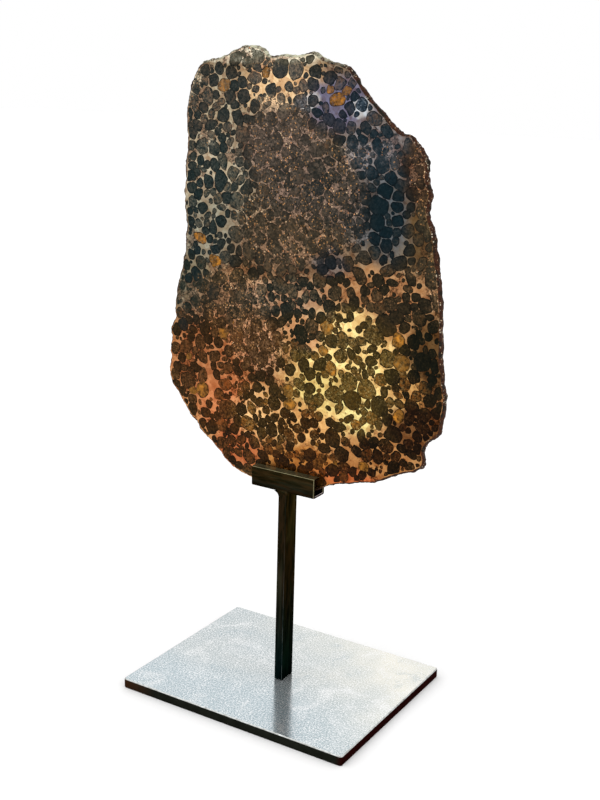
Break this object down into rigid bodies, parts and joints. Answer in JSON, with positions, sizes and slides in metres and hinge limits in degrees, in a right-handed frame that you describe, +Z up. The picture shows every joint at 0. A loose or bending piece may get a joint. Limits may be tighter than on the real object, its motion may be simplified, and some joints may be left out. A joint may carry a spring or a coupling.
{
  "type": "pallasite meteorite slice",
  "caption": "Polished slice of pallasite meteorite, standing upright in a slotted steel tube on a flat-bar post and steel base plate.",
  "frame": {"origin": "centre of the base plate's underside", "axes": "+Z up; X along the plate's long side and the slice's width; the slice's shown face looks along -Y"},
  "size_m": [0.193, 0.127, 0.3947],
  "materials": {
    "pallasite": "polished metal and olivine, rusty in a band, rough broken rim",
    "bronzed_steel": "blackened, bronze-brown, dull satin",
    "blackened_steel": "blackened, satin",
    "satin_steel": "satin with a fine sparkle on top, dark sawn sides"
  },
  "bodies": {
    "root": {"slice": "pallasite", "holder": "bronzed_steel", "post": "blackened_steel", "base_plate": "satin_steel"}
  },
  "joints": []
}
